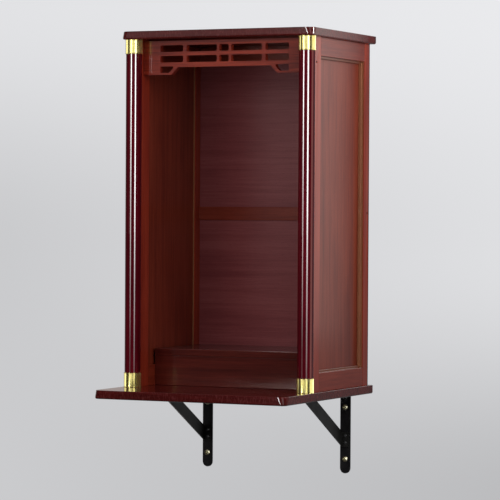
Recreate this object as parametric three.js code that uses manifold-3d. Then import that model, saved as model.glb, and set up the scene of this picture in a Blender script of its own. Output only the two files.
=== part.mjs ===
// Wall-hung household altar cabinet: an open-fronted lacquered wooden box between two rounded
// boards, with a round column at each front corner, brass ferrules, a fretwork valance, a low
// inner step, and two black steel wall brackets under its base board.
//
// Units are millimetres, +Z is up, the wall is the plane y = 0 and the open front faces -Y.
// The origin is the middle of the base board's rear edge, where the board meets the wall.
import * as THREE from "three";
import { ConvexGeometry } from "three/addons/geometries/ConvexGeometry.js";
import { mergeVertices } from "three/addons/utils/BufferGeometryUtils.js";
import Module from "manifold-3d";

const wasm = await Module();
wasm.setup();

// Boards. Heights below are measured from the base board's upper face.
const INNER_HEIGHT = 610;
const BASE = { width: 365, depth: 377, thickness: 15 };
const TOP = { width: 369, depth: 278, thickness: 14 };
const BOARD_CORNER = { top: 15, bottom: 9 };
const BOARD_EASE = 1.2;

// Columns and their ferrules.
const COLUMN_RADIUS = 14;
const COLUMN_X = 166.5;
const COLUMN_Y = -262;
const FERRULE_HEIGHT = 25;
const FERRULE_INSIDE = 14.1;
const FERRULE_OUTSIDE = 14.9;
const FERRULE_RIM = 15.3;
const RIM_HEIGHT = 1.6;
const SEAT_CLEARANCE = 0.15;
const ROUND_SEGMENTS = 32;

// Framed sides. A depth into a side is measured inwards from its outer face.
const SIDE_OUTSIDE = 175.5;
const SIDE_THICKNESS = 18;
const SIDE_INSIDE = SIDE_OUTSIDE - SIDE_THICKNESS;
const SIDE_FRONT = -252;
const SIDE_REAR = -8;
const STILE_FRONT_EDGE = -224;
const STILE_REAR_EDGE = -32;
const SIDE_RAIL = 32.6;
const LEDGE_DEPTH = 4.7;
const LEDGE_WIDTH = 4.2;
const PANEL_DEPTH = 9.7;
const PANEL_THICKNESS = 4;
const GROOVE = 4;
const PIN_HOLES = [
  { y: -242, z: 566 },
  { y: -16, z: 308 },
];
const PIN_HOLE_RADIUS = 2.1;
const PIN_HOLE_DEPTH = 6;

// Framed back, between the two sides.
const BACK_FRONT = -21;
const BACK_TOP_RAIL = 32;
const BACK_BOTTOM_RAIL = 60;
const BACK_MIDDLE = { bottom: 294, top: 318 };
const BACK_PANEL = { front: -17, rear: -13 };

// Fretwork valance under the top board.
const VALANCE_FRONT = -244;
const VALANCE_THICKNESS = 10;
const VALANCE_TOP = 608;
const VALANCE_BOTTOM = 561.6;
const DROP_BOTTOM = 548.5;
const DROP_CORNER_X = 102.3;
const DROP_START_X = 89.4;
const SLOT_ROWS = [
  { bottom: 570, top: 581.8 },
  { bottom: 588.6, top: 600.3 },
];
const SLOT_SPANS = [
  [-124.1, -79.4],
  [-72.7, -13.7],
  [-9.2, 9.2],
  [13.7, 72.7],
  [79.4, 124.1],
];
const DROP_SLOT = { inner: 99, outer: 124.1, bottom: 552, top: 563.2 };
const SLOT_CORNER = 3.2;
const DROP_SLOT_CORNER = 1.2;
const DROP_SLOT_SLANT = 8;

// Inner step.
const STEP_FRONT = -195;
const STEP_TOP = 65.5;
const STEP_BOARD = 12;
const RISER_SETBACK = 1;

// Wall brackets: an angle strap, a brace with turned ends, rivets and screws.
const BRACKET_X = { left: -146, right: 130 };
const STRAP_WIDTH = 19.5;
const STRAP_THICKNESS = 3;
const STRAP_BEND = 3;
const WALL_STRAP_END = -161;
const SHELF_STRAP_END = -205;
const BRACE_THICKNESS = 2.5;
const BRACE_OFFSET = -7.3;
const BRACE_FOOT_WIDTH = 15;
const BRACE_WALL_LOW = -113;
const BRACE_WALL_HIGH = -87;
const BRACE_SLOPE = 0.55;
const RIVET_OFFSET = 1.6;
const RIVET_Z = [-92.6, -105.2];
const RIVET_Y = [-141, -163];
const RIVET = { head: 3, rise: 1.6, shank: 1.8 };
const SCREW = { head: 5.2, rise: 2.3, shank: 2.1, slot: 1.2, reach: 3, sink: 1.2 };
const WALL_SCREW_Z = [-41.5, -134.8];
const BOARD_SCREW_Y = [-45, -190];
const BOARD_SCREW_LENGTH = 10;
const HOLE_CLEARANCE = 0.25;
const SMALL_SEGMENTS = 12;

function finish(color, roughness, metalness = 0) {
  return new THREE.MeshStandardMaterial({ color, roughness, metalness });
}

const boardLacquer = finish(0x4c1812, 0.15);
const sideLacquer = finish(0x7a4038, 0.35);
const innerLacquer = finish(0x42150f, 0.3);
const valanceLacquer = finish(0x8c3226, 0.25);
const columnLacquer = finish(0x3e070b, 0.06);
const brass = finish(0xd9b84a, 0.15, 1);
const blackSteel = finish(0x17171a, 0.5);
const braceSteel = finish(0x2a2a28, 0.45);
const screwMetal = finish(0xc9c39a, 0.35, 1);

// The cabinet's own frame has z = 0 on the base board's upper face.
const cabinet = new THREE.Group();
cabinet.position.z = BASE.thickness / 2;

function place(name, geometry, material, x = 0, y = 0, z = 0) {
  const mesh = new THREE.Mesh(geometry, material);
  mesh.name = name;
  mesh.position.set(x, y, z);
  cabinet.add(mesh);
}

function toSolid(geometry) {
  const bare = geometry.clone();
  bare.deleteAttribute("normal");
  bare.deleteAttribute("uv");
  const merged = mergeVertices(bare, 1e-4);
  return new wasm.Manifold(
    new wasm.Mesh({
      numProp: 3,
      vertProperties: new Float32Array(merged.attributes.position.array),
      triVerts: new Uint32Array(merged.index.array),
    }),
  );
}

function toGeometry(solid) {
  const mesh = solid.getMesh();
  const geometry = new THREE.BufferGeometry();
  geometry.setAttribute("position", new THREE.BufferAttribute(mesh.vertProperties, 3));
  geometry.setIndex(new THREE.BufferAttribute(mesh.triVerts, 1));
  geometry.computeVertexNormals();
  return geometry;
}

function join(geometries) {
  return toGeometry(geometries.map(toSolid).reduce((all, next) => all.add(next)));
}

function cut(geometry, cutters) {
  return toGeometry(cutters.map(toSolid).reduce((left, tool) => left.subtract(tool), toSolid(geometry)));
}

function common(geometries) {
  return toGeometry(geometries.map(toSolid).reduce((all, next) => all.intersect(next)));
}

// A box between two limits on each axis, given in either order.
function block(x0, x1, y0, y1, z0, z1) {
  const box = new THREE.BoxGeometry(Math.abs(x1 - x0), Math.abs(y1 - y0), Math.abs(z1 - z0));
  return box.translate((x0 + x1) / 2, (y0 + y1) / 2, (z0 + z1) / 2);
}

// A closed outline through the points, each corner rounded over the given reach.
function outline(points, reach, PathType = THREE.Shape) {
  const path = new PathType();
  const corners = points.map(([x, y]) => new THREE.Vector2(x, y));
  corners.forEach((corner, i) => {
    const before = corners[(i + corners.length - 1) % corners.length];
    const after = corners[(i + 1) % corners.length];
    const from = before.clone().sub(corner).setLength(reach).add(corner);
    const to = after.clone().sub(corner).setLength(reach).add(corner);
    if (i === 0) path.moveTo(from.x, from.y);
    else path.lineTo(from.x, from.y);
    path.quadraticCurveTo(corner.x, corner.y, to.x, to.y);
  });
  path.closePath();
  return path;
}

// A flat outline in X and Y given a thickness upwards.
function raised(shape, thickness) {
  return new THREE.ExtrudeGeometry(shape, { depth: thickness, bevelEnabled: false, curveSegments: 4 });
}

// A flat outline in X and Z given a thickness towards -Y.
function facing(shape, thickness) {
  return raised(shape, thickness).rotateX(Math.PI / 2);
}

// A flat outline in Y and Z given a thickness towards +X.
function sideways(shape, thickness) {
  return raised(shape, thickness).rotateX(Math.PI / 2).rotateZ(Math.PI / 2);
}

function upright(radius, height, segments) {
  return new THREE.CylinderGeometry(radius, radius, height, segments).rotateX(Math.PI / 2);
}

// Boards with round front corners and eased edges. Each front corner is rounder at its top than at
// its bottom. The rear edge lies on the wall plane.
function board({ width, depth, thickness }) {
  const ring = (corner, inset, z) => {
    const half = width / 2 - inset;
    const front = inset - depth;
    const radius = corner - inset;
    const path = new THREE.Path();
    path.moveTo(-half, -inset);
    path.lineTo(-half, front + radius);
    path.absarc(-half + radius, front + radius, radius, Math.PI, 1.5 * Math.PI);
    path.absarc(half - radius, front + radius, radius, 1.5 * Math.PI, 2 * Math.PI);
    path.lineTo(half, -inset);
    return path.getPoints(8).map(({ x, y }) => new THREE.Vector3(x, y, z));
  };
  return new ConvexGeometry([
    ...ring(BOARD_CORNER.top, BOARD_EASE, thickness),
    ...ring(BOARD_CORNER.top, 0, thickness - BOARD_EASE),
    ...ring(BOARD_CORNER.bottom, 0, BOARD_EASE),
    ...ring(BOARD_CORNER.bottom, BOARD_EASE, 0),
  ]);
}

function boards() {
  const screwHoles = Object.values(BRACKET_X).flatMap((x) =>
    BOARD_SCREW_Y.map((y) => {
      const length = BOARD_SCREW_LENGTH + 1;
      const drill = upright(SCREW.shank + HOLE_CLEARANCE, 2 * length, SMALL_SEGMENTS);
      return drill.translate(x, y, -BASE.thickness);
    }),
  );
  const base = board(BASE).translate(0, 0, -BASE.thickness);
  place("base_board", cut(base, screwHoles), boardLacquer);
  place("top_board", board(TOP), boardLacquer, 0, 0, INNER_HEIGHT);
}

// Columns stand between the boards, with a brass ferrule round each end.
function columns() {
  const ferrule = new THREE.LatheGeometry(
    [
      [FERRULE_INSIDE, 0],
      [FERRULE_RIM, 0],
      [FERRULE_RIM, RIM_HEIGHT],
      [FERRULE_OUTSIDE, RIM_HEIGHT + 0.6],
      [FERRULE_OUTSIDE, FERRULE_HEIGHT - RIM_HEIGHT - 0.6],
      [FERRULE_RIM, FERRULE_HEIGHT - RIM_HEIGHT],
      [FERRULE_RIM, FERRULE_HEIGHT],
      [FERRULE_INSIDE, FERRULE_HEIGHT],
      [FERRULE_INSIDE, 0],
    ].map(([r, h]) => new THREE.Vector2(r, h)),
    ROUND_SEGMENTS,
  ).rotateX(Math.PI / 2);
  for (const [side, sign] of [["left", -1], ["right", 1]]) {
    const x = sign * COLUMN_X;
    const column = upright(COLUMN_RADIUS, INNER_HEIGHT, ROUND_SEGMENTS);
    place(`column_${side}`, column, columnLacquer, x, COLUMN_Y, INNER_HEIGHT / 2);
    place(`ferrule_${side}_bottom`, ferrule, brass, x, COLUMN_Y, 0);
    place(`ferrule_${side}_top`, ferrule, brass, x, COLUMN_Y, INNER_HEIGHT - FERRULE_HEIGHT);
  }
}

// Each side is a frame of stiles and rails with a stepped inner edge, round a thin panel
// that sits in a groove. The front stile is hollowed to seat the column and its ferrules.
function sides() {
  for (const [side, sign] of [["left", -1], ["right", 1]]) {
    const slab = (d0, d1, y0, y1, z0, z1) =>
      block(sign * (SIDE_OUTSIDE - d0), sign * (SIDE_OUTSIDE - d1), y0, y1, z0, z1);
    const faceLimits = [STILE_FRONT_EDGE, STILE_REAR_EDGE];
    const ledgeLimits = [STILE_FRONT_EDGE + LEDGE_WIDTH, STILE_REAR_EDGE - LEDGE_WIDTH];
    const railTop = SIDE_RAIL + LEDGE_WIDTH;
    const panel = slab(
      PANEL_DEPTH,
      PANEL_DEPTH + PANEL_THICKNESS,
      ledgeLimits[0] - GROOVE,
      ledgeLimits[1] + GROOVE,
      railTop - GROOVE,
      INNER_HEIGHT - railTop + GROOVE,
    );
    const frontStile = join([
      slab(0, SIDE_THICKNESS, SIDE_FRONT, faceLimits[0], 0, INNER_HEIGHT),
      slab(LEDGE_DEPTH, SIDE_THICKNESS, SIDE_FRONT, ledgeLimits[0], 0, INNER_HEIGHT),
    ]);
    const rearStile = join([
      slab(0, SIDE_THICKNESS, faceLimits[1], SIDE_REAR, 0, INNER_HEIGHT),
      slab(LEDGE_DEPTH, SIDE_THICKNESS, ledgeLimits[1], SIDE_REAR, 0, INNER_HEIGHT),
    ]);
    const bottomRail = join([
      slab(0, LEDGE_DEPTH, ...faceLimits, 0, SIDE_RAIL),
      slab(LEDGE_DEPTH, SIDE_THICKNESS, ...ledgeLimits, 0, railTop),
    ]);
    const topRail = join([
      slab(0, LEDGE_DEPTH, ...faceLimits, INNER_HEIGHT - SIDE_RAIL, INNER_HEIGHT),
      slab(LEDGE_DEPTH, SIDE_THICKNESS, ...ledgeLimits, INNER_HEIGHT - railTop, INNER_HEIGHT),
    ]);
    const seat = (radius, length, z) =>
      upright(radius + SEAT_CLEARANCE, length, ROUND_SEGMENTS).translate(sign * COLUMN_X, COLUMN_Y, z);
    const seats = [
      seat(COLUMN_RADIUS, INNER_HEIGHT + 2, INNER_HEIGHT / 2),
      seat(FERRULE_RIM, 2 * FERRULE_HEIGHT + SEAT_CLEARANCE, 0),
      seat(FERRULE_RIM, 2 * FERRULE_HEIGHT + SEAT_CLEARANCE, INNER_HEIGHT),
    ];
    const pinHole = ({ y, z }) => {
      const drill = new THREE.CylinderGeometry(
        PIN_HOLE_RADIUS,
        PIN_HOLE_RADIUS,
        2 * PIN_HOLE_DEPTH,
        SMALL_SEGMENTS,
      );
      return drill.rotateZ(Math.PI / 2).translate(sign * SIDE_OUTSIDE, y, z);
    };
    const [frontHole, rearHole] = PIN_HOLES.map(pinHole);
    place(`side_${side}_front_stile`, cut(frontStile, [...seats, panel, frontHole]), sideLacquer);
    place(`side_${side}_rear_stile`, cut(rearStile, [panel, rearHole]), sideLacquer);
    place(`side_${side}_top_rail`, cut(topRail, [panel]), sideLacquer);
    place(`side_${side}_bottom_rail`, cut(bottomRail, [panel]), sideLacquer);
    place(`side_${side}_panel`, panel, sideLacquer);
  }
}

// The back is three rails across the cabinet with two thin panels grooved into them.
function back() {
  const across = (z0, z1) => block(-SIDE_INSIDE, SIDE_INSIDE, BACK_FRONT, SIDE_REAR, z0, z1);
  const panel = (z0, z1) =>
    block(-SIDE_INSIDE, SIDE_INSIDE, BACK_PANEL.front, BACK_PANEL.rear, z0 - GROOVE, z1 + GROOVE);
  const upper = panel(BACK_MIDDLE.top, INNER_HEIGHT - BACK_TOP_RAIL);
  const lower = panel(BACK_BOTTOM_RAIL, BACK_MIDDLE.bottom);
  place("back_upper_panel", upper, innerLacquer);
  place("back_lower_panel", lower, innerLacquer);
  place("back_top_rail", cut(across(INNER_HEIGHT - BACK_TOP_RAIL, INNER_HEIGHT), [upper]), innerLacquer);
  place("back_middle_rail", cut(across(BACK_MIDDLE.bottom, BACK_MIDDLE.top), [upper, lower]), innerLacquer);
  place("back_bottom_rail", cut(across(0, BACK_BOTTOM_RAIL), [lower]), innerLacquer);
}

// The valance is one fretted board with two rows of slots and a slotted drop at each end.
function valance() {
  const shape = new THREE.Shape(
    [
      [-SIDE_INSIDE, DROP_BOTTOM],
      [-DROP_CORNER_X, DROP_BOTTOM],
      [-DROP_START_X, VALANCE_BOTTOM],
      [DROP_START_X, VALANCE_BOTTOM],
      [DROP_CORNER_X, DROP_BOTTOM],
      [SIDE_INSIDE, DROP_BOTTOM],
      [SIDE_INSIDE, VALANCE_TOP],
      [-SIDE_INSIDE, VALANCE_TOP],
    ].map(([x, z]) => new THREE.Vector2(x, z)),
  );
  for (const { bottom, top } of SLOT_ROWS) {
    for (const [x0, x1] of SLOT_SPANS) {
      const corners = [[x0, bottom], [x0, top], [x1, top], [x1, bottom]];
      shape.holes.push(outline(corners, SLOT_CORNER, THREE.Path));
    }
  }
  const { inner, outer, bottom, top } = DROP_SLOT;
  for (const sign of [-1, 1]) {
    const corners = [
      [sign * inner, top],
      [sign * outer, top],
      [sign * outer, bottom],
      [sign * (inner + DROP_SLOT_SLANT), bottom],
      [sign * inner, bottom + DROP_SLOT_SLANT],
    ];
    shape.holes.push(outline(corners, DROP_SLOT_CORNER, THREE.Path));
  }
  const fretted = facing(shape, VALANCE_THICKNESS);
  place("valance", fretted, valanceLacquer, 0, VALANCE_FRONT + VALANCE_THICKNESS);
}

// A low step across the back of the floor: a board on a riser, let in against the back's
// bottom rail.
function step() {
  const under = STEP_TOP - STEP_BOARD;
  const riserFront = STEP_FRONT + RISER_SETBACK;
  const tread = block(-SIDE_INSIDE, SIDE_INSIDE, STEP_FRONT, BACK_FRONT, under, STEP_TOP);
  const riser = block(-SIDE_INSIDE, SIDE_INSIDE, riserFront, riserFront + STEP_BOARD, 0, under);
  place("step_board", tread, innerLacquer);
  place("step_riser", riser, innerLacquer);
}

// A strap's outline, straight-sided with a full round end at the far limit.
function strapOutline(near, far) {
  const half = STRAP_WIDTH / 2;
  const shape = new THREE.Shape();
  shape.moveTo(-half, near);
  shape.lineTo(-half, far + half);
  shape.absarc(0, far + half, half, Math.PI, 2 * Math.PI);
  shape.lineTo(half, near);
  shape.closePath();
  return shape;
}

// The angle strap's side view: down the wall and out under the base board, bent between.
function angleOutline() {
  const top = -BASE.thickness;
  const inner = STRAP_BEND;
  const outer = STRAP_BEND + STRAP_THICKNESS;
  const shape = new THREE.Shape();
  shape.moveTo(0, WALL_STRAP_END);
  shape.lineTo(0, top - outer);
  shape.absarc(-outer, top - outer, outer, 0, Math.PI / 2);
  shape.lineTo(SHELF_STRAP_END, top);
  shape.lineTo(SHELF_STRAP_END, top - STRAP_THICKNESS);
  shape.lineTo(-outer, top - STRAP_THICKNESS);
  shape.absarc(-outer, top - outer, inner, Math.PI / 2, 0, true);
  shape.lineTo(-STRAP_THICKNESS, WALL_STRAP_END);
  shape.closePath();
  return shape;
}

// A round-headed fastener standing on the plane z = 0 with its shank downwards.
function fastener({ head, rise, shank }, length) {
  const profile = [
    [0, -length],
    [shank, -length],
    [shank, 0],
    [head, 0],
    [head * 0.92, rise * 0.5],
    [head * 0.6, rise * 0.88],
    [0, rise],
  ];
  const points = profile.map(([r, h]) => new THREE.Vector2(r, h));
  return new THREE.LatheGeometry(points, SMALL_SEGMENTS).rotateX(Math.PI / 2);
}

// A screw is a fastener with a cross recess sunk in its head.
function screw(length) {
  const { slot, reach, rise, sink } = SCREW;
  const cross = [
    block(-reach, reach, -slot / 2, slot / 2, rise - sink, rise + 1),
    block(-slot / 2, slot / 2, -reach, reach, rise - sink, rise + 1),
  ];
  return cut(fastener(SCREW, length), cross);
}

function brackets() {
  const shelfUnder = -BASE.thickness - STRAP_THICKNESS;
  const footUnder = shelfUnder - BRACE_THICKNESS;
  const footFront = -STRAP_THICKNESS - BRACE_THICKNESS;
  const run = (z) => -STRAP_THICKNESS - (shelfUnder - z) / BRACE_SLOPE;
  const hole = (radius) => upright(radius + HOLE_CLEARANCE, 40, SMALL_SEGMENTS);
  const wallHole = (radius, x, z) => hole(radius).rotateX(Math.PI / 2).translate(x, 0, z);
  const shelfHole = (radius, x, y) => hole(radius).translate(x, y, shelfUnder);
  const towardsFront = (geometry) => geometry.rotateX(Math.PI / 2);
  const downwards = (geometry) => geometry.rotateX(Math.PI);

  const rivetHoles = [
    ...RIVET_Z.map((z) => wallHole(RIVET.shank, RIVET_OFFSET, z)),
    ...RIVET_Y.map((y) => shelfHole(RIVET.shank, RIVET_OFFSET, y)),
  ];
  const screwHoles = [
    ...WALL_SCREW_Z.map((z) => wallHole(SCREW.shank, 0, z)),
    ...BOARD_SCREW_Y.map((y) => shelfHole(SCREW.shank, 0, y)),
  ];
  const angle = common([
    sideways(angleOutline(), STRAP_WIDTH).translate(-STRAP_WIDTH / 2, 0, 0),
    facing(strapOutline(1, WALL_STRAP_END), 400).translate(0, 1, 0),
    raised(strapOutline(1, SHELF_STRAP_END), 400).translate(0, 0, -300),
  ]);
  const drilledAngle = cut(angle, [...rivetHoles, ...screwHoles]);

  // The brace is a flat bar on edge, with each end turned flat against the angle strap.
  const web = new THREE.Shape(
    [
      [-STRAP_THICKNESS, BRACE_WALL_LOW],
      [-STRAP_THICKNESS, BRACE_WALL_HIGH],
      [run(BRACE_WALL_HIGH), shelfUnder],
      [run(BRACE_WALL_LOW), shelfUnder],
    ].map(([y, z]) => new THREE.Vector2(y, z)),
  );
  const footEnd = BRACE_OFFSET + BRACE_FOOT_WIDTH;
  const wallFoot = block(BRACE_OFFSET, footEnd, footFront, -STRAP_THICKNESS, BRACE_WALL_LOW, BRACE_WALL_HIGH);
  const shelfFoot = block(
    BRACE_OFFSET,
    footEnd,
    run(BRACE_WALL_LOW),
    run(BRACE_WALL_HIGH),
    footUnder,
    shelfUnder,
  );
  const bar = sideways(web, BRACE_THICKNESS).translate(BRACE_OFFSET, 0, 0);
  const brace = cut(join([bar, wallFoot, shelfFoot]), rivetHoles);

  for (const [side, x] of Object.entries(BRACKET_X)) {
    place(`bracket_${side}_angle`, drilledAngle, blackSteel, x);
    place(`bracket_${side}_brace`, brace, braceSteel, x);
    const rivetLength = BRACE_THICKNESS + STRAP_THICKNESS;
    RIVET_Z.forEach((z, i) => {
      const rivet = towardsFront(fastener(RIVET, rivetLength));
      place(`bracket_${side}_wall_rivet_${i + 1}`, rivet, blackSteel, x + RIVET_OFFSET, footFront, z);
    });
    RIVET_Y.forEach((y, i) => {
      const rivet = downwards(fastener(RIVET, rivetLength));
      place(`bracket_${side}_shelf_rivet_${i + 1}`, rivet, blackSteel, x + RIVET_OFFSET, y, footUnder);
    });
    WALL_SCREW_Z.forEach((z, i) => {
      const wallScrew = towardsFront(screw(STRAP_THICKNESS));
      place(`bracket_${side}_wall_screw_${i + 1}`, wallScrew, screwMetal, x, -STRAP_THICKNESS, z);
    });
    BOARD_SCREW_Y.forEach((y, i) => {
      const boardScrew = downwards(screw(STRAP_THICKNESS + BOARD_SCREW_LENGTH));
      place(`bracket_${side}_board_screw_${i + 1}`, boardScrew, screwMetal, x, y, shelfUnder);
    });
  }
}

boards();
columns();
sides();
back();
valance();
step();
brackets();

export default cabinet;
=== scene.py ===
"""Wall-hung household altar cabinet, dressed for its portrait.

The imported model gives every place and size. This script lays the finished surfaces over it: lacquered
boards with rounded edges, turned columns, rolled brass ferrules, eased joinery, black steel brackets
with their screws and rivets. Then it sets the studio light and the camera.

Lengths are metres, +Z is up, the wall is the plane y = 0 and the open front faces -Y.
"""

import math

import bmesh
import bpy
import numpy as np
from mathutils import Matrix, Vector


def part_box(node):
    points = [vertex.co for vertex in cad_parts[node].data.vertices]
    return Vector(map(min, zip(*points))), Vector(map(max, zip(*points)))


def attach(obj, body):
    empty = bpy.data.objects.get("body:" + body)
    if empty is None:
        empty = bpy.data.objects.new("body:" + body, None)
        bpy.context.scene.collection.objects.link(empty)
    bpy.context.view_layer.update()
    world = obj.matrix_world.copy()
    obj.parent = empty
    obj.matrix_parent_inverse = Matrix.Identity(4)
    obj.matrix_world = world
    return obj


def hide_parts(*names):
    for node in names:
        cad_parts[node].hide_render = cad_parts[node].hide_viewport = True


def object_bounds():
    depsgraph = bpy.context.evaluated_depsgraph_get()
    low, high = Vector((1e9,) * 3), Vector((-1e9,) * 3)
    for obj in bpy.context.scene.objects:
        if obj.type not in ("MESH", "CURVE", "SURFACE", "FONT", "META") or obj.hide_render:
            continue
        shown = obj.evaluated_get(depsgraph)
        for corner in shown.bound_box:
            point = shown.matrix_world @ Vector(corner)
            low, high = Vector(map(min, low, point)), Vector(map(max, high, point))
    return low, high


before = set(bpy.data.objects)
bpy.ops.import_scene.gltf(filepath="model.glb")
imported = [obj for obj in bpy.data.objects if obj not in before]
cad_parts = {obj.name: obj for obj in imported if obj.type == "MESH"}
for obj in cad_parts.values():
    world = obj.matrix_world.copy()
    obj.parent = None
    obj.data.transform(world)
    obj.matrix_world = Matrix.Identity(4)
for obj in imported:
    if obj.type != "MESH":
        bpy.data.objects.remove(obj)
cad_low, cad_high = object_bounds()

MM = 0.001
ROOT = "root"

# Boards.
BOARD_CORNER_TOP = 15 * MM
BOARD_CORNER_BOTTOM = 9 * MM
BOARD_REAR_CORNER = 2 * MM
BOARD_TOP_EASE = 0.8 * MM
BOARD_BOTTOM_EASE = 3 * MM

# Turned and rolled pieces.
ROUND_STEPS = 128
FERRULE_RIM_HEIGHT = 1.6 * MM
FERRULE_WALL_INSET = 0.4 * MM
FERRULE_CLEARANCE = 0.1 * MM
COLUMN_END_EASE = 0.4 * MM

# Joinery and steel. The sides' faces and pin holes are named so that their finish can follow them.
SIDE_OUTSIDE = 175.5 * MM
SIDE_INSIDE = 157.5 * MM
SIDE_REAR = -8 * MM
PIN_HOLES = [(-242 * MM, 573.5 * MM), (-16 * MM, 315.5 * MM)]
PIN_HOLE_REACH = 2.4 * MM
WOOD_EASE = 0.9 * MM
PANEL_EASE = 0.3 * MM
FRET_EASE = 0.8 * MM
STEEL_EASE = 0.45 * MM

# Fasteners.
SCREW_RISE = 2.3 * MM
SCREW_SHANK = 2.1 * MM
RIVET_RISE = 1.6 * MM
RIVET_SHANK = 1.8 * MM
HEAD_RINGS = 26
HEAD_STEPS = 96
SCREW_RECESS_REACH = 2.9 * MM
SCREW_RECESS_HALF_WIDTH = 0.62 * MM
SCREW_RECESS_DEPTH = 1.3 * MM
SCREW_RECESS_WALL = 0.2 * MM

# Camera.
CAMERA_PLACE = (2.044965, -4.458853, 0.315525)
CAMERA_AZIMUTH = math.radians(25.303)
CAMERA_PITCH = math.radians(-0.799)
CAMERA_ROLL = math.radians(0.340)
CAMERA_LENS = 194.03
CAMERA_SENSOR = 36.0


# ---------------------------------------------------------------- material building


def add(tree, kind, inputs=None, **settings):
    """A new node, with its settings, its constant sockets and its linked sockets filled in."""
    node = tree.nodes.new(kind)
    for key, value in settings.items():
        setattr(node, key, value)
    for key, value in (inputs or {}).items():
        if isinstance(value, bpy.types.NodeSocket):
            tree.links.new(value, node.inputs[key])
        else:
            node.inputs[key].default_value = value
    return node


def new_material(name, **constants):
    """A material with one Principled shader, whose constant sockets are set directly."""
    material = bpy.data.materials.new(name)
    material.use_nodes = True
    tree = material.node_tree
    tree.nodes.clear()
    shader = add(tree, "ShaderNodeBsdfPrincipled")
    for key, value in constants.items():
        shader.inputs[key.replace("_", " ")].default_value = value
    add(tree, "ShaderNodeOutputMaterial", {"Surface": shader.outputs["BSDF"]})
    return material, tree, shader


def ramp(tree, factor, stops, interpolation="LINEAR"):
    """A colour ramp through (position, colour) stops."""
    node = add(tree, "ShaderNodeValToRGB", {"Fac": factor})
    node.color_ramp.interpolation = interpolation
    elements = node.color_ramp.elements
    while len(elements) < len(stops):
        elements.new(0.5)
    for element, (position, colour) in zip(elements, stops):
        element.position = position
        element.color = (*colour, 1.0)
    return node.outputs["Color"]


def spread(tree, value, low, high, to_low, to_high):
    """A value mapped from one range onto another, held at both ends."""
    node = add(
        tree,
        "ShaderNodeMapRange",
        {"Value": value, "From Min": low, "From Max": high, "To Min": to_low, "To Max": to_high},
    )
    return node.outputs["Result"]


def product(tree, first, second):
    """Two values multiplied."""
    return add(tree, "ShaderNodeMath", {0: first, 1: second}, operation="MULTIPLY").outputs["Value"]


def blend(tree, share, under, over):
    """One colour laid over another by a share from 0 to 1."""
    colours = {"Factor": share, "A": under, "B": over}
    return add(tree, "ShaderNodeMix", colours, data_type="RGBA").outputs["Result"]


def stretched_noise(tree, position, across, along, axis, detail=3.0, roughness=0.55, offset=0.0):
    """Noise whose features measure across and along the grain, in metres."""
    scale = [1.0 / across] * 3
    scale["XYZ".index(axis)] = 1.0 / along
    placed = {"Vector": position, "Scale": scale, "Location": (offset,) * 3}
    mapping = add(tree, "ShaderNodeMapping", placed)
    noise = add(
        tree,
        "ShaderNodeTexNoise",
        {"Vector": mapping.outputs["Vector"], "Scale": 1.0, "Detail": detail, "Roughness": roughness},
    )
    return noise.outputs["Fac"]


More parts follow.
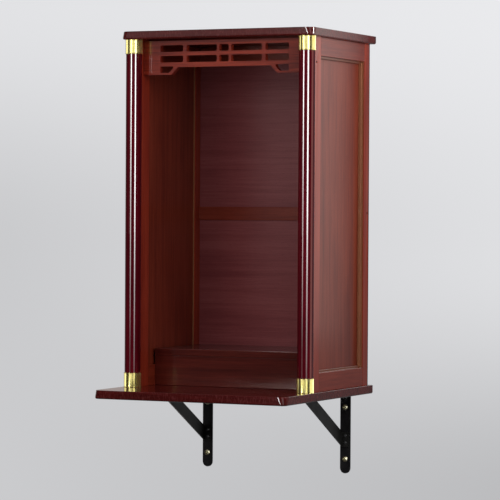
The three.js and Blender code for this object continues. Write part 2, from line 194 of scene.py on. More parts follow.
def lacquered_wood(
    name,
    shades,
    axis,
    gloss,
    coat=1.0,
    sheen=0.2,
    ripple=0.35,
    pore_depth=0.4,
    seed=0.0,
    rims=None,
    flecks=None,
):
    """Wood grain under clear lacquer.

    shades are the dark, middle and light colours. Broad figure, fine fibres and dark pores all run
    along one axis. The lacquer is the coat: gloss is its roughness, and it ripples a little. sheen
    is how strongly the wood under it shines. rims is a paler colour for the narrow faces between a
    side's outer and inner faces; with it comes painted shade, nearly black, in the side's pin holes
    and along its outer rear arris. flecks is the colour of short upright ticks of open end grain.
    """
    material, tree, shader = new_material(
        name,
        Roughness=0.42,
        Specular_IOR_Level=sheen,
        Coat_Weight=coat,
        Coat_IOR=1.5,
        Coat_Roughness=gloss,
    )
    position = add(tree, "ShaderNodeTexCoord").outputs["Object"]
    figure = stretched_noise(tree, position, 9 * MM, 260 * MM, axis, 4.0, 0.6, seed)
    fibre = stretched_noise(tree, position, 1.1 * MM, 45 * MM, axis, 3.0, 0.6, seed + 11)
    pores = stretched_noise(tree, position, 0.45 * MM, 7 * MM, axis, 2.0, 0.5, seed + 23)
    cloud = stretched_noise(tree, position, 90 * MM, 220 * MM, axis, 2.0, 0.5, seed + 37)
    grain = add(tree, "ShaderNodeMix", {"Factor": 0.42, "A": figure, "B": fibre}, data_type="FLOAT")
    clouded = {"Factor": 0.3, "A": grain.outputs["Result"], "B": cloud}
    tone = add(tree, "ShaderNodeMix", clouded, data_type="FLOAT")
    dark, middle, light = shades
    colour = ramp(tree, tone.outputs["Result"], [(0.39, dark), (0.5, middle), (0.61, light)])
    if flecks:
        ticks = stretched_noise(tree, position, 1.5 * MM, 7 * MM, "Z", 2.0, 0.6, seed + 61)
        colour = blend(tree, spread(tree, ticks, 0.52, 0.66, 0.0, 0.65), colour, (*flecks, 1.0))
    if rims:
        parts = add(tree, "ShaderNodeSeparateXYZ", {"Vector": position}).outputs
        depth = add(tree, "ShaderNodeMath", {0: parts["X"]}, operation="ABSOLUTE").outputs["Value"]
        inwards = spread(tree, depth, SIDE_OUTSIDE - 2.2 * MM, SIDE_OUTSIDE - 1.2 * MM, 1.0, 0.0)
        outwards = spread(tree, depth, SIDE_INSIDE + 1.2 * MM, SIDE_INSIDE + 2.2 * MM, 0.0, 1.0)
        ahead = spread(tree, parts["Y"], SIDE_REAR - 4 * MM, SIDE_REAR - 2.5 * MM, 1.0, 0.0)
        between = product(tree, product(tree, inwards, outwards), ahead)
        rim_tone = ramp(tree, tone.outputs["Result"], [(0.34, [c * 0.7 for c in rims]), (0.66, rims)])
        rimmed = blend(tree, between, colour, rim_tone)
        # painted shade: nearly black in the side's pin holes and along its outer rear arris
        shadow = (*[c * 0.05 for c in dark], 1.0)
        colour = blend(tree, shaded_places(tree, position, depth), rimmed, shadow)
    pore = spread(tree, pores, 0.60, 0.72, 0.0, pore_depth)
    pored = blend(tree, pore, colour, (*[c * 0.35 for c in dark], 1.0))
    tree.links.new(pored, shader.inputs["Base Color"])
    wood_bump = add(tree, "ShaderNodeBump", {"Strength": 0.25, "Distance": 0.12 * MM, "Height": fibre})
    tree.links.new(wood_bump.outputs["Normal"], shader.inputs["Normal"])
    waves = stretched_noise(tree, position, 5 * MM, 14 * MM, axis, 1.0, 0.5, seed + 51)
    coat_bump = add(tree, "ShaderNodeBump", {"Strength": ripple, "Distance": 0.05 * MM, "Height": waves})
    tree.links.new(coat_bump.outputs["Normal"], shader.inputs["Coat Normal"])
    return material


def shaded_places(tree, position, depth):
    """1 where shade is painted nearly black: inside a side's pin holes and along its outer rear arris.

    depth is the distance from the middle of the cabinet.
    """
    back = add(tree, "ShaderNodeSeparateXYZ", {"Vector": position}).outputs["Y"]
    # painted shadow along the side's outer rear arris
    rear = spread(tree, back, SIDE_REAR - 4 * MM, SIDE_REAR - 2.5 * MM, 0.0, 0.8)
    outer = spread(tree, depth, SIDE_OUTSIDE - 2.0 * MM, SIDE_OUTSIDE - 1.0 * MM, 0.0, 1.0)
    shade = product(tree, rear, outer)
    sunk = spread(tree, depth, SIDE_OUTSIDE - 0.5 * MM, SIDE_OUTSIDE - 0.2 * MM, 1.0, 0.0)
    flat = add(tree, "ShaderNodeVectorMath", {0: position, 1: (0.0, 1.0, 1.0)}, operation="MULTIPLY")
    # painted shade inside each pin hole
    for y, z in PIN_HOLES:
        ends = {0: flat.outputs["Vector"], 1: (0.0, y, z)}
        reach = add(tree, "ShaderNodeVectorMath", ends, operation="DISTANCE").outputs["Value"]
        near = spread(tree, reach, PIN_HOLE_REACH, PIN_HOLE_REACH + 0.3 * MM, 1.0, 0.0)
        hole = product(tree, near, sunk)
        shade = add(tree, "ShaderNodeMath", {0: shade, 1: hole}, operation="MAXIMUM").outputs["Value"]
    return shade


def polished_brass():
    """Bright brass with fine turning lines round it and faint handling marks."""
    material, tree, shader = new_material("polished_brass", Metallic=1.0)
    position = add(tree, "ShaderNodeTexCoord").outputs["Object"]
    lines = stretched_noise(tree, position, 30 * MM, 0.35 * MM, "Z", 2.0)
    marks = stretched_noise(tree, position, 6 * MM, 9 * MM, "Z", 4.0, 0.65, 5.0)
    tones = [(0.3, (0.86, 0.72, 0.22)), (0.6, (0.93, 0.83, 0.32)), (0.8, (0.95, 0.88, 0.44))]
    colour = ramp(tree, marks, tones)
    tree.links.new(colour, shader.inputs["Base Color"])
    tree.links.new(spread(tree, marks, 0.35, 0.7, 0.19, 0.27), shader.inputs["Roughness"])
    bump = add(tree, "ShaderNodeBump", {"Strength": 0.12, "Distance": 0.03 * MM, "Height": lines})
    tree.links.new(bump.outputs["Normal"], shader.inputs["Normal"])
    return material


def coated_steel(name, dark, light, roughness):
    """Black paint baked on steel: a fine orange peel, and duller and greyer in patches."""
    material, tree, shader = new_material(name, Specular_IOR_Level=0.5)
    position = add(tree, "ShaderNodeTexCoord").outputs["Object"]
    patches = stretched_noise(tree, position, 14 * MM, 30 * MM, "Z", 4.0, 0.6)
    peel = stretched_noise(tree, position, 0.9 * MM, 0.9 * MM, "Z", 2.0, 0.5, 3.0)
    tree.links.new(ramp(tree, patches, [(0.35, dark), (0.65, light)]), shader.inputs["Base Color"])
    dulled = spread(tree, patches, 0.3, 0.7, roughness - 0.06, roughness + 0.1)
    tree.links.new(dulled, shader.inputs["Roughness"])
    bump = add(tree, "ShaderNodeBump", {"Strength": 0.3, "Distance": 0.06 * MM, "Height": peel})
    tree.links.new(bump.outputs["Normal"], shader.inputs["Normal"])
    return material


def plated_screw():
    """Yellow zinc plating with a faint uneven bloom."""
    material, tree, shader = new_material("plated_screw", Metallic=1.0)
    position = add(tree, "ShaderNodeTexCoord").outputs["Object"]
    bloom = stretched_noise(tree, position, 1.6 * MM, 1.6 * MM, "Z", 3.0, 0.6)
    tones = [(0.35, (0.62, 0.57, 0.34)), (0.55, (0.80, 0.77, 0.54)), (0.75, (0.90, 0.88, 0.74))]
    colour = ramp(tree, bloom, tones)
    tree.links.new(colour, shader.inputs["Base Color"])
    tree.links.new(spread(tree, bloom, 0.3, 0.7, 0.22, 0.42), shader.inputs["Roughness"])
    return material


# ---------------------------------------------------------------- surface building


def grid_faces(rows, columns, wrap_rows=False):
    """Quads of a grid of points stored row by row. The columns always close into a ring."""
    row = np.arange(rows if wrap_rows else rows - 1)
    column = np.arange(columns)
    r, c = np.meshgrid(row, column, indexing="ij")
    r_next = (r + 1) % rows
    c_next = (c + 1) % columns
    corners = (r * columns + c, r * columns + c_next, r_next * columns + c_next, r_next * columns + c)
    return np.stack(corners, axis=-1).reshape(-1, 4).tolist()


def dress(name, mesh, material, nodes):
    """Puts a mesh in the scene as a finished piece that stands for its CAD nodes."""
    piece = bpy.data.objects.new(name, mesh)
    bpy.context.scene.collection.objects.link(piece)
    mesh.materials.append(material)
    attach(piece, ROOT)
    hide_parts(*nodes)
    return piece


def mesh_from(name, points, faces, sharp_angle=math.radians(40)):
    """A closed mesh with its doubled points merged and its faces turned outwards."""
    mesh = bpy.data.meshes.new(name)
    mesh.from_pydata(points.reshape(-1, 3).tolist(), [], faces)
    work = bmesh.new()
    work.from_mesh(mesh)
    bmesh.ops.remove_doubles(work, verts=work.verts, dist=1e-7)
    bmesh.ops.recalc_face_normals(work, faces=work.faces)
    work.to_mesh(mesh)
    work.free()
    mesh.shade_smooth()
    mesh.set_sharp_from_angle(angle=sharp_angle)
    return mesh


def weigh_normals(piece):
    """Keeps the flat faces flat where a rounded edge runs into them."""
    modifier = piece.modifiers.new("weighed_normals", "WEIGHTED_NORMAL")
    modifier.keep_sharp = True


def turned(radii, heights, centre, steps=ROUND_STEPS):
    """Points of a profile turned about a vertical axis: (x0 + r cos a, y0 + r sin a, h), a row for
    each profile point and a column for each angle a.
    """
    angle = np.linspace(0.0, 2.0 * np.pi, steps, endpoint=False)
    radii = np.asarray(radii)[:, None]
    heights = np.asarray(heights)[:, None]
    x = centre[0] + radii * np.cos(angle)
    y = centre[1] + radii * np.sin(angle)
    return np.stack([x, y, np.broadcast_to(heights, x.shape)], axis=-1)


def quarter(start, end, steps=5):
    """Angles of an arc, in degrees, as radians."""
    return np.radians(np.linspace(start, end, steps))


# ---------------------------------------------------------------- boards


def board_outline(low, high, front_radius):
    """The board's plan as points and outward normals: an arc at each corner, joined by straights.

    Each arc is its own centre plus the radius times the normal.
    """
    corners = [
        (low.x, low.y, 180, front_radius),
        (high.x, low.y, 270, front_radius),
        (high.x, high.y, 0, BOARD_REAR_CORNER),
        (low.x, high.y, 90, BOARD_REAR_CORNER),
    ]
    points, normals = [], []
    for x, y, start, radius in corners:
        angle = np.radians(start + 90 * np.linspace(0.0, 1.0, 25))
        normal = np.stack([np.cos(angle), np.sin(angle)], axis=-1)
        middle = math.radians(start + 45)
        diagonal = np.array([math.cos(middle), math.sin(middle)])
        centre = np.array([x, y]) - radius * math.sqrt(2) * diagonal
        points.append(centre + radius * normal)
        normals.append(normal)
    return np.concatenate(points), np.concatenate(normals)


def rounded_board(node, material):
    """A board whose edge profile is carried round its plan.

    From the top face the profile turns down through a quarter circle, drops straight, and turns in
    again through a larger quarter circle. Every profile point is the plan point moved inwards by the
    profile's inset. The front corners' radius grows evenly from the bottom face to the top face.
    """
    low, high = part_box(node)
    down = quarter(0, 90, 7)
    under = quarter(0, 90, 13)
    top, bottom = BOARD_TOP_EASE, BOARD_BOTTOM_EASE
    rows = [(top * (1 - math.sin(a)), high.z - top * (1 - math.cos(a))) for a in down]
    rows += [(bottom * (1 - math.cos(a)), low.z + bottom * (1 - math.sin(a))) for a in under]
    rings = []
    for inset, height in rows:
        share = (height - low.z) / (high.z - low.z)
        radius = BOARD_CORNER_BOTTOM + share * (BOARD_CORNER_TOP - BOARD_CORNER_BOTTOM)
        plan, normal = board_outline(low, high, radius)
        rings.append(np.column_stack([plan - inset * normal, np.full(len(plan), height)]))
    count = len(rings[0])
    faces = grid_faces(len(rings), count)
    faces.append(list(range(count)))
    faces.append([(len(rings) - 1) * count + i for i in range(count)])
    mesh = mesh_from(node, np.array(rings), faces)
    weigh_normals(dress(f"{node}_finish", mesh, material, [node]))


# ---------------------------------------------------------------- columns and ferrules


def column(node, material):
    """A plain turned shaft with its ends just broken."""
    low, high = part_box(node)
    centre = (low + high) / 2
    radius = (high.x - low.x) / 2
    ease = COLUMN_END_EASE
    radii = [0, radius - ease, radius, radius, radius - ease, 0]
    heights = [low.z, low.z, low.z + ease, high.z - ease, high.z, high.z]
    points = turned(radii, heights, centre)
    mesh = mesh_from(node, points, grid_faces(len(radii), ROUND_STEPS))
    dress(f"{node}_finish", mesh, material, [node])


def ferrule(node, column_node, material):
    """A thin sleeve with a rolled rim at each end.

    The profile goes up the outside, over the top lip and down the inside: each rim is a half circle
    standing out of the wall, and the bore clears the column.
    """
    low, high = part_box(node)
    centre = (low + high) / 2
    rim = (high.x - low.x) / 2
    wall = rim - FERRULE_WALL_INSET
    column_low, column_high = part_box(column_node)
    bore = (column_high.x - column_low.x) / 2 + FERRULE_CLEARANCE
    half = FERRULE_RIM_HEIGHT / 2
    bulge = quarter(-90, 90, 9)
    radii = [bore]
    heights = [low.z]
    for middle in (low.z + half, high.z - half):
        radii += list(wall + (rim - wall) * np.cos(bulge))
        heights += list(middle + half * np.sin(bulge))
    radii.append(bore)
    heights.append(high.z)
    points = turned(radii, heights, centre)
    mesh = mesh_from(node, points, grid_faces(len(radii), ROUND_STEPS, wrap_rows=True), math.radians(60))
    dress(f"{node}_finish", mesh, material, [node])


# ---------------------------------------------------------------- joinery and steel


def eased(node, material, radius, segments=3):
    """The node's own solid with every arris rounded over.

    A copy of the loose triangles is merged and its flat faces joined, and a bevel of the given
    radius then rounds each edge that turns by more than 30 degrees.
    """
    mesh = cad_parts[node].data.copy()
    mesh.name = f"{node}_eased"
    mesh.materials.clear()
    work = bmesh.new()
    work.from_mesh(mesh)
    bmesh.ops.remove_doubles(work, verts=work.verts, dist=1e-6)
    bmesh.ops.dissolve_limit(work, angle_limit=math.radians(1), verts=work.verts, edges=work.edges)
    work.to_mesh(mesh)
    work.free()
    mesh.shade_smooth()
    mesh.set_sharp_from_angle(angle=math.radians(50))
    piece = dress(f"{node}_finish", mesh, material, [node])
    bevel = piece.modifiers.new("eased_edges", "BEVEL")
    bevel.width = radius
    bevel.segments = segments
    bevel.limit_method = "ANGLE"
    bevel.angle_limit = math.radians(30)
    bevel.harden_normals = True
    return piece


# ---------------------------------------------------------------- fasteners


def fastener(node, axis, material, recessed):
    """A round-headed fastener, and a cross recess in its head if it is a screw.

    Seen along its axis the head is a flattened dome, rise * sqrt(1 - 0.8 (r / R)^2) above its seat.
    The recess lowers the dome where either |x| or |y| is inside the slot's half width and the other
    is inside its reach, with walls that slope over a fifth of a millimetre. The shank is a plain
    cylinder behind the seat.
    """
    low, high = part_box(node)
    centre = (low + high) / 2
    head = (high.x - low.x) / 2
    outward = Vector(axis)
    tip = max(low.dot(outward), high.dot(outward))
    end = min(low.dot(outward), high.dot(outward))
    rise = SCREW_RISE if recessed else RIVET_RISE
    shank = SCREW_SHANK if recessed else RIVET_SHANK
    seat = tip - rise
    radii = np.linspace(0.0, head, HEAD_RINGS)
    dome = seat + rise * np.sqrt(1.0 - 0.8 * (radii / head) ** 2)
    radii = np.concatenate([radii, [head, shank, shank, 0.0]])
    levels = np.concatenate([dome, [seat, seat, end, end]])
    points = turned(radii, levels, (0.0, 0.0), HEAD_STEPS)
    if recessed:
        across = np.abs(points[:HEAD_RINGS, :, 0])
        along = np.abs(points[:HEAD_RINGS, :, 1])
        narrow = np.minimum(across, along)
        wide = np.maximum(across, along)
        inside = np.clip((SCREW_RECESS_HALF_WIDTH - narrow) / SCREW_RECESS_WALL + 0.5, 0, 1)
        inside = inside * np.clip((SCREW_RECESS_REACH - wide) / SCREW_RECESS_WALL + 0.5, 0, 1)
        points[:HEAD_RINGS, :, 2] -= SCREW_RECESS_DEPTH * inside
    turn = outward.to_track_quat("Z", "Y").to_matrix()
    side = centre - outward * centre.dot(outward)
    points = points @ np.array(turn).T + np.array(side)
    mesh = mesh_from(node, points, grid_faces(len(radii), HEAD_STEPS), math.radians(35))
    dress(f"{node}_finish", mesh, material, [node])


# ---------------------------------------------------------------- the cabinet


HANDS = ("left", "right")
RIM_TONE = (0.43, 0.165, 0.080)
DIM_RIM_TONE = (0.24, 0.070, 0.034)


def board_lacquer():
    """Near-black red, very glossy, with short upright ticks where the grain is cut."""
    shades = [(0.058, 0.0038, 0.0032), (0.098, 0.0080, 0.0072), (0.150, 0.0150, 0.0138)]
    ticks = (0.200, 0.042, 0.040)
    name = "board_lacquer_finish"
    return lacquered_wood(name, shades, "X", 0.05, 0.88, 0.0, 0.15, seed=3.0, flecks=ticks)


def column_lacquer():
    """Deep maroon, polished like glass."""
    shades = [(0.014, 0.0002, 0.0008), (0.024, 0.0005, 0.0018), (0.036, 0.0010, 0.0028)]
    return lacquered_wood("column_lacquer_finish", shades, "Z", 0.012, 1.0, 0.0, 0.015, 0.1, seed=8.0)


def stile_lacquer():
    """Brown red with upright grain, golden rims round the panel, and painted shade in the pin holes and
    along the rear arris.
    """
    shades = [(0.240, 0.021, 0.009), (0.345, 0.036, 0.015), (0.430, 0.055, 0.023)]
    return lacquered_wood("side_lacquer_upright_finish", shades, "Z", 0.20, 0.6, seed=13.0, rims=RIM_TONE)


def side_rail_lacquer():
    """The side's level rails, a shade darker than its stiles."""
    shades = [(0.180, 0.018, 0.008), (0.250, 0.030, 0.013), (0.310, 0.044, 0.019)]
    name = "side_lacquer_level_finish"
    return lacquered_wood(name, shades, "Y", 0.12, 0.45, seed=17.0, rims=DIM_RIM_TONE)


def side_panel_lacquer():
    """The side's sunk panel, with upright grain."""
    shades = [(0.150, 0.018, 0.008), (0.225, 0.032, 0.014), (0.290, 0.048, 0.022)]
    return lacquered_wood("side_lacquer_field_finish", shades, "Z", 0.20, 0.55, seed=19.0)


def back_rail_lacquer():
    """Brown rails across the back."""
    shades = [(0.180, 0.024, 0.014), (0.250, 0.040, 0.022), (0.320, 0.060, 0.034)]
    return lacquered_wood("inner_lacquer_rail_finish", shades, "X", 0.25, 0.5, seed=27.0)


def back_panel_lacquer():
    """Dusky rose brown panels of the back, with level grain."""
    shades = [(0.215, 0.046, 0.051), (0.255, 0.060, 0.064), (0.305, 0.080, 0.082)]
    return lacquered_wood("inner_lacquer_field_finish", shades, "X", 0.25, 0.6, seed=29.0)


def step_lacquer():
    """Dark and glossy, for the step's tread and riser."""
    shades = [(0.060, 0.006, 0.004), (0.095, 0.011, 0.007), (0.135, 0.018, 0.011)]
    return lacquered_wood("inner_lacquer_step_finish", shades, "X", 0.12, 0.7, seed=33.0)


def fret_lacquer():
    """Orange red and uneven, for the fretted valance."""
    shades = [(0.095, 0.008, 0.005), (0.220, 0.022, 0.011), (0.390, 0.046, 0.021)]
    return lacquered_wood("valance_lacquer_finish", shades, "X", 0.08, 0.6, 0.1, seed=31.0)


def dress_posts():
    """Both columns and their four brass ferrules."""
    shaft = column_lacquer()
    brass = polished_brass()
    for hand in HANDS:
        column(f"column_{hand}", shaft)
        for end in ("bottom", "top"):
            ferrule(f"ferrule_{hand}_{end}", f"column_{hand}", brass)


def dress_sides():
    """Both framed sides."""
    upright = stile_lacquer()
    level = side_rail_lacquer()
    field = side_panel_lacquer()
    for hand in HANDS:
        for part in ("front_stile", "rear_stile"):
            eased(f"side_{hand}_{part}", upright, WOOD_EASE)
        for part in ("top_rail", "bottom_rail"):
            eased(f"side_{hand}_{part}", level, WOOD_EASE)
        eased(f"side_{hand}_panel", field, PANEL_EASE, 1)


def dress_brackets():
    """Both brackets: angle, brace, rivets and screws."""
    black = coated_steel("black_steel_finish", (0.011, 0.011, 0.012), (0.024, 0.024, 0.025), 0.42)
    grey_black = coated_steel("brace_steel_finish", (0.015, 0.015, 0.014), (0.030, 0.030, 0.028), 0.40)
    plated = plated_screw()
    forward = (0, -1, 0)
    downward = (0, 0, -1)
    for hand in HANDS:
        eased(f"bracket_{hand}_angle", black, STEEL_EASE)
        eased(f"bracket_{hand}_brace", grey_black, STEEL_EASE)
        for number in (1, 2):
            fastener(f"bracket_{hand}_wall_rivet_{number}", forward, black, False)
            fastener(f"bracket_{hand}_shelf_rivet_{number}", downward, black, False)
            fastener(f"bracket_{hand}_wall_screw_{number}", forward, plated, True)
            fastener(f"bracket_{hand}_board_screw_{number}", downward, plated, True)


def dress_back():
    """The framed back, seen from inside and from behind."""
    rail = back_rail_lacquer()
    field = back_panel_lacquer()
    for part in ("top_rail", "middle_rail", "bottom_rail"):
        eased(f"back_{part}", rail, WOOD_EASE)
    for part in ("upper_panel", "lower_panel"):
        eased(f"back_{part}", field, PANEL_EASE, 1)


def dress_cabinet():
    """Every piece of the cabinet."""
    board = board_lacquer()
    rounded_board("base_board", board)
    rounded_board("top_board", board)
    dress_posts()
    dress_sides()
    dress_brackets()
    dress_back()
    step = step_lacquer()
    eased("step_board", step, WOOD_EASE)
    eased("step_riser", step, WOOD_EASE)
    eased("valance", fret_lacquer(), FRET_EASE)


# ---------------------------------------------------------------- stage, light and camera

FLOOR_DROP = 1.15
FLOOR_RADIUS = 5.0
FLOOR_STEPS = 96


def pale_floor():
    """A plain pale disc well below the brackets, out of the portrait's view."""
    mesh = bpy.data.meshes.new("pale_floor")
    angle = np.linspace(0.0, 2.0 * np.pi, FLOOR_STEPS, endpoint=False)
    height = np.full(FLOOR_STEPS, cad_low.z - FLOOR_DROP)
    rim = np.column_stack([FLOOR_RADIUS * np.cos(angle), FLOOR_RADIUS * np.sin(angle), height])
    mesh.from_pydata(rim.tolist(), [], [list(range(FLOOR_STEPS))])
    floor = bpy.data.objects.new("pale_floor", mesh)
    bpy.context.scene.collection.objects.link(floor)
    material, tree, shader = new_material("pale_floor_finish", Roughness=0.8)
    position = add(tree, "ShaderNodeTexCoord").outputs["Object"]
    mottle = stretched_noise(tree, position, 0.4, 0.4, "Z")
    colour = ramp(tree, mottle, [(0.3, (0.60, 0.60, 0.61)), (0.7, (0.64, 0.64, 0.65))])
    tree.links.new(colour, shader.inputs["Base Color"])
    mesh.materials.append(material)
    floor.visible_diffuse = False
    floor.visible_glossy = False


def pale(value):
    """A barely blue grey."""
    return (0.985 * value, 0.99 * value, 1.015 * value)


def studio_world():
    """Pale all round for the eye. For light and reflections, a bright wall behind and a dim room."""
    world = bpy.data.worlds.new("studio")
    bpy.context.scene.world = world
    world.use_nodes = True
    tree = world.node_tree
    tree.nodes.clear()
    direction = add(tree, "ShaderNodeTexCoord").outputs["Generated"]
    parts = add(tree, "ShaderNodeSeparateXYZ", {"Vector": direction})
    level = (math.cos(CAMERA_AZIMUTH), math.sin(CAMERA_AZIMUTH), 0.0)
    sideways = add(tree, "ShaderNodeVectorMath", {0: direction, 1: level}, operation="DOT_PRODUCT")
    rise = spread(tree, parts.outputs["Z"], -0.107, 0.079, 0.0, 1.0)
    left = ramp(tree, rise, [(0.0, pale(0.60)), (0.5, pale(0.60)), (1.0, pale(0.77))], "EASE")
    right = ramp(tree, rise, [(0.0, pale(0.51)), (0.5, pale(0.74)), (1.0, pale(0.83))], "EASE")
    seen = blend(tree, spread(tree, sideways.outputs["Value"], -0.09, 0.09, 0.0, 1.0), left, right)
    backdrop = add(tree, "ShaderNodeBackground", {"Color": seen, "Strength": 1.0})
    behind = spread(tree, parts.outputs["Y"], -0.05, 0.30, 0.0, 1.0)
    room = ramp(tree, behind, [(0.0, (0.030, 0.027, 0.027)), (1.0, (0.20, 0.20, 0.205))], "EASE")
    lit = add(tree, "ShaderNodeBackground", {"Color": room, "Strength": 1.0})
    camera_ray = add(tree, "ShaderNodeLightPath").outputs["Is Camera Ray"]
    mixed = add(tree, "ShaderNodeMixShader", {"Fac": camera_ray})
    tree.links.new(lit.outputs["Background"], mixed.inputs[1])
    tree.links.new(backdrop.outputs["Background"], mixed.inputs[2])
    add(tree, "ShaderNodeOutputWorld", {"Surface": mixed.outputs["Shader"]})


def softbox(
    name, place, aim, width, height, radiance, up=None, across=None, only=None, tint=(1.0, 1.0, 1.0)
):
    """A rectangular light that shows in reflections but not to the eye.

    up and across list (share, strength) from its foot to its head and from its left to its right
    edge, and the two are multiplied. only names a collection of pieces, and the light then reaches
    nothing else.
    """
    data = bpy.data.lights.new(name, "AREA")
    data.shape = "RECTANGLE"
    data.size = width
    data.size_y = height
    data.energy = radiance * math.pi * width * height
    data.color = tint
    if up or across:
        data.use_nodes = True
        tree = data.node_tree
        tree.nodes.clear()
        parametric = add(tree, "ShaderNodeNewGeometry").outputs["Parametric"]
        shares = add(tree, "ShaderNodeSeparateXYZ", {"Vector": parametric})
        emission = add(tree, "ShaderNodeEmission", {"Strength": 1.0})
        strengths = []
        for axis, fade in (("X", across), ("Y", up)):
            if fade:
                stops = [(share, (value,) * 3) for share, value in fade]
                strengths.append(ramp(tree, shares.outputs[axis], stops))
        colour = strengths[0]
        if len(strengths) == 2:
            both = {0: strengths[0], 1: strengths[1]}
            colour = add(tree, "ShaderNodeVectorMath", both, operation="MULTIPLY").outputs["Vector"]
        tree.links.new(colour, emission.inputs["Color"])
        add(tree, "ShaderNodeOutputLight", {"Surface": emission.outputs["Emission"]})
    light = bpy.data.objects.new(name, data)
    bpy.context.scene.collection.objects.link(light)
    light.location = place
    light.rotation_euler = (Vector(aim) - Vector(place)).to_track_quat("-Z", "Y").to_euler()
    light.visible_camera = False
    if only:
        light.light_linking.receiver_collection = only
    return light


def gathered(name, pieces):
    """A collection of the finished pieces with the given names."""
    group = bpy.data.collections.new(name)
    for piece in pieces:
        group.objects.link(bpy.data.objects[f"{piece}_finish"])
    return group


LEFT_STRIP_PLACE = (-0.463, -1.686, 0.45)
RIGHT_STRIP_PLACE = (1.075, -1.307, 0.45)
FRONT_AIM = (0.0, -0.262, 0.45)
ARRIS_AIM = (0.18, -0.27, 0.3)


def column_lights():
    """Two tall strips draw the bright lines down the columns, and a red one edges their right."""
    shafts = gathered("shafts", [f"column_{hand}" for hand in HANDS])
    left_fade = [(0.0, 0.01), (0.20, 0.04), (0.42, 0.35), (0.60, 1.0), (1.0, 1.0)]
    right_fade = [(0.0, 0.02), (0.16, 0.06), (0.30, 0.30), (0.46, 1.0), (1.0, 1.0)]
    softbox("left_strip", LEFT_STRIP_PLACE, FRONT_AIM, 0.34, 1.5, 34.0, left_fade, only=shafts)
    softbox("right_strip", RIGHT_STRIP_PLACE, FRONT_AIM, 0.44, 1.5, 30.0, right_fade, only=shafts)
    red = (1.0, 0.50, 0.42)
    softbox("right_bounce", (1.15, 0.02, 0.45), FRONT_AIM, 0.55, 1.5, 2.2, only=shafts, tint=red)


def ferrule_lights():
    """Softer strips in the same two places, one in front, and the flanks that brass needs to look
    bright to its edges. The flanks shine through the sides, which only the ferrules could shade.
    """
    ends = ("bottom", "top")
    collars = gathered("collars", [f"ferrule_{hand}_{end}" for hand in HANDS for end in ends])
    fade = [(0.0, 0.32), (0.2, 0.45), (0.6, 1.0), (1.0, 1.0)]
    softbox("left_glow", LEFT_STRIP_PLACE, FRONT_AIM, 0.46, 1.5, 3.4, fade, only=collars)
    softbox("right_glow", RIGHT_STRIP_PLACE, FRONT_AIM, 0.56, 1.5, 3.2, fade, only=collars)
    softbox("front_glow", (0.25, -2.0, 0.45), FRONT_AIM, 1.0, 1.5, 0.85, only=collars)
    inner_aim = (-0.15, -0.262, 0.45)
    flanks = [
        softbox("left_flank", (-1.45, -0.30, 0.45), FRONT_AIM, 0.9, 1.5, 1.5, only=collars),
        softbox("right_flank", (1.15, 0.10, 0.45), FRONT_AIM, 0.9, 1.5, 1.0, only=collars),
        softbox("inner_flank", (0.85, 1.45, 0.45), inner_aim, 1.1, 1.6, 2.2, only=collars),
    ]
    for flank in flanks:
        flank.light_linking.blocker_collection = collars


def arris_lights():
    """Far kickers glint in the boards' corners, and a near one along the step's front arris."""
    slabs = gathered("slabs", ["base_board", "top_board"])
    treads = gathered("treads", ["step_board"])
    kickers = [
        softbox("left_kicker", (-1.19, -4.03, 0.8), ARRIS_AIM, 0.36, 2.2, 55.0, only=slabs),
        softbox("right_kicker", (4.16, 0.08, 2.1), ARRIS_AIM, 0.60, 2.6, 65.0, only=slabs),
        softbox("step_kicker", (0.0, -0.20, 0.50), (0.0, -0.12, 0.0), 0.28, 0.16, 14.0, only=treads),
    ]
    for kicker in kickers:
        kicker.visible_diffuse = False


def fixing_lights():
    """A glow in front of the wall legs picks out the screw and rivet heads."""
    fixings = [f"wall_{kind}_{number}" for kind in ("screw", "rivet") for number in (1, 2)]
    heads = gathered("heads", [f"bracket_{hand}_{fixing}" for hand in HANDS for fixing in fixings])
    softbox("screw_glow", (0.55, -2.2, 0.25), (0.0, 0.0, -0.07), 1.1, 1.1, 5.0, only=heads)


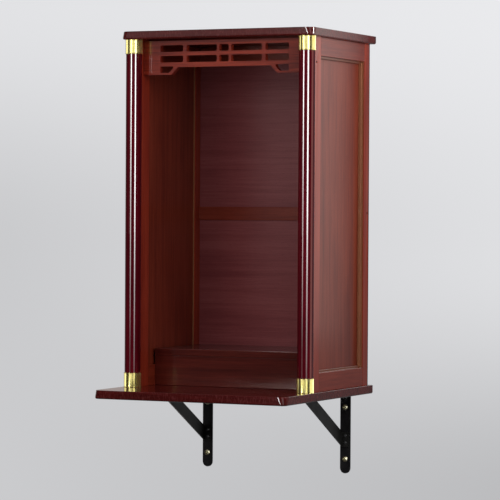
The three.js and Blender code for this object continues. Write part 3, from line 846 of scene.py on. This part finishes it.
def wall_lights():
    """The bright wall that the outer side mirrors, the dimmer one in the base board, and one behind.

    The right wall fades toward its foot and toward both ends.
    """
    turned_pieces = ("column", "ferrule")
    flats = gathered("flats", [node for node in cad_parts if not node.startswith(turned_pieces)])
    up = [(0.0, 0.01), (0.24, 0.03), (0.26, 0.10), (0.29, 0.42), (0.42, 0.72), (0.6, 0.97), (1.0, 1.0)]
    across = [(0.0, 0.04), (0.55, 0.06), (0.72, 0.35), (0.84, 0.85), (0.945, 1.0), (0.985, 0.5), (1.0, 0.1)]
    cream = (1.0, 0.96, 0.92)
    rose = (1.0, 0.80, 0.72)
    softbox("wall_right", (1.0, 0.0, 0.45), (1.0, -1.0, 0.45), 1.6, 1.6, 1.05, up, across, flats, cream)
    softbox("wall_left", (-0.9, 0.01, 0.4), (-0.9, -1.0, 0.4), 1.4, 1.4, 0.34, only=flats, tint=rose)
    softbox("back_box", (0.4, 3.0, 1.7), (0.0, 0.0, 0.4), 2.0, 1.6, 1.6, only=flats)


def room_lights():
    """Two soft boxes for every piece, two fills that don't show in the lacquer, and the floor's own."""
    softbox("left_box", (-0.75, -1.70, 0.85), (0.0, -0.2, 0.5), 0.9, 1.2, 0.5)
    softbox("right_box", (1.05, -1.45, 0.85), (0.1, -0.2, 0.5), 0.7, 1.2, 1.2)
    fills = [
        softbox("front_fill", (-0.4, -2.2, 0.65), (0.0, -0.1, 0.45), 1.6, 1.2, 1.9),
        softbox("right_fill", (1.10, -0.62, 0.72), (0.0, -0.30, 0.65), 0.8, 0.7, 3.7),
    ]
    for fill in fills:
        fill.visible_glossy = False
    ground = bpy.data.collections.new("ground")
    ground.objects.link(bpy.data.objects["pale_floor"])
    softbox("floor_light", (0.0, 0.0, 3.0), (0.0, 0.0, 0.0), 6.0, 6.0, 3.2, only=ground)


def portrait_camera():
    """The camera looks along its azimuth and pitch, and is then rolled about its line of sight."""
    forward = Vector(
        (
            -math.sin(CAMERA_AZIMUTH) * math.cos(CAMERA_PITCH),
            math.cos(CAMERA_AZIMUTH) * math.cos(CAMERA_PITCH),
            math.sin(CAMERA_PITCH),
        )
    )
    level = Vector((math.cos(CAMERA_AZIMUTH), math.sin(CAMERA_AZIMUTH), 0.0))
    upright = level.cross(forward)
    right = level * math.cos(CAMERA_ROLL) + upright * math.sin(CAMERA_ROLL)
    up = right.cross(forward)
    data = bpy.data.cameras.new("portrait_camera")
    data.lens = CAMERA_LENS
    data.sensor_width = CAMERA_SENSOR
    data.clip_end = 100.0
    camera = bpy.data.objects.new("portrait_camera", data)
    bpy.context.scene.collection.objects.link(camera)
    turn = Matrix((right, up, -forward)).transposed().to_4x4()
    camera.matrix_world = Matrix.Translation(CAMERA_PLACE) @ turn
    bpy.context.scene.camera = camera


portrait_camera()
dress_cabinet()
pale_floor()
studio_world()
column_lights()
ferrule_lights()
arris_lights()
fixing_lights()
wall_lights()
room_lights()
bpy.context.scene.view_settings.view_transform = "Standard"
bpy.context.scene.view_settings.look = "None"
